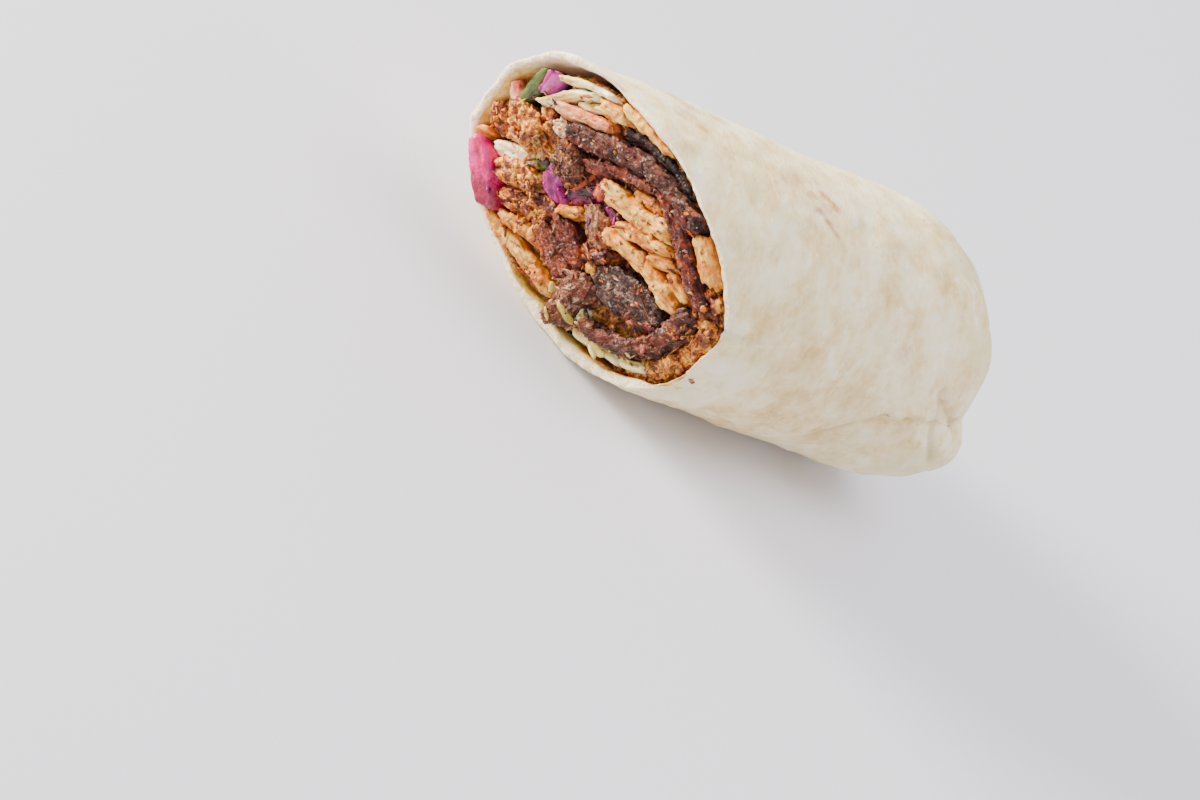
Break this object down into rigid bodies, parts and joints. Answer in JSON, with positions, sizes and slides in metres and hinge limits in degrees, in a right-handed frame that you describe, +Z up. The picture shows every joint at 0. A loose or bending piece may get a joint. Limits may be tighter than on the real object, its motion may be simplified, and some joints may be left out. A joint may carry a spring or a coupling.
{
  "type": "shawarma wrap half",
  "caption": "Half of a shawarma wrap cut on the bias: a folded flatbread roll, shut at one end, with strips of meat, cabbage and pickles showing at the slanting cut.",
  "frame": {"origin": "on the surface it rests on, under the middle of the whole wrap", "axes": "+X along the roll, from the slanting cut to the folded end; +Z up; the cut faces -X and -Y"},
  "size_m": [0.1328, 0.065, 0.0633],
  "materials": {
    "flatbread": "matt floury flatbread, cream with small toasted spots",
    "beef": "roast beef strips, brown with grainy cut fibres",
    "char": "charred beef, near black with speckled edge",
    "chicken": "roast chicken strips, pale beige to golden",
    "crisp": "crisp golden brown chicken crumbs, glazed",
    "cabbage": "shredded cabbage, pale yellow green, moist",
    "red_cabbage": "red cabbage, purple, moist and shiny",
    "turnip": "pink pickled turnip, moist",
    "pickle": "green pickle with darker skin, moist",
    "tomato": "tomato flesh, salmon pink, wet",
    "pepper": "orange pepper sliver, wet",
    "onion": "pale onion, translucent, moist",
    "core": "packed filling out of sight"
  },
  "bodies": {
    "root": {"flatbread": "flatbread", "filling_core": "core", "tomato_scrap": "tomato", "pickle_slice": "pickle", "red_cabbage_top": "red_cabbage", "cabbage_shred_1": "cabbage", "cabbage_shred_2": "cabbage", "cabbage_shred_3": "cabbage", "chicken_pink": "chicken", "chicken_top_1": "chicken", "chicken_top_2": "chicken", "beef_charred_top": "char", "chicken_crisp_1": "crisp", "chicken_crisp_2": "crisp", "chicken_pale_top": "chicken", "pepper_sliver": "pepper", "chicken_crisp_3": "crisp", "beef_crumb": "beef", "onion_white": "onion", "turnip": "turnip", "chicken_crumb_1": "crisp", "chicken_crumb_2": "crisp", "pickle_leaf": "pickle", "red_cabbage_1": "red_cabbage", "red_cabbage_2": "red_cabbage", "red_cabbage_3": "red_cabbage", "beef_chunk": "beef", "beef_outer": "beef", "beef_short": "beef", "beef_inner": "beef", "chicken_slab": "chicken", "chicken_small_1": "chicken", "chicken_strip_1": "chicken", "chicken_small_2": "chicken", "chicken_strip_2": "chicken", "chicken_small_3": "chicken", "chicken_right": "chicken", "chicken_small_4": "crisp", "beef_slab_1": "beef", "beef_slab_2": "beef", "beef_gray": "beef", "chicken_flake_1": "chicken", "chicken_flake_2": "crisp", "chicken_cube": "chicken", "beef_charred": "char", "beef_low": "beef", "beef_bottom": "beef", "chicken_long": "chicken", "chicken_pale": "chicken", "beef_thin": "beef", "cabbage_left": "cabbage", "cabbage_bottom": "cabbage", "cabbage_scrap": "cabbage", "cabbage_core": "cabbage", "soaked_crumb": "crisp"}
  },
  "joints": []
}
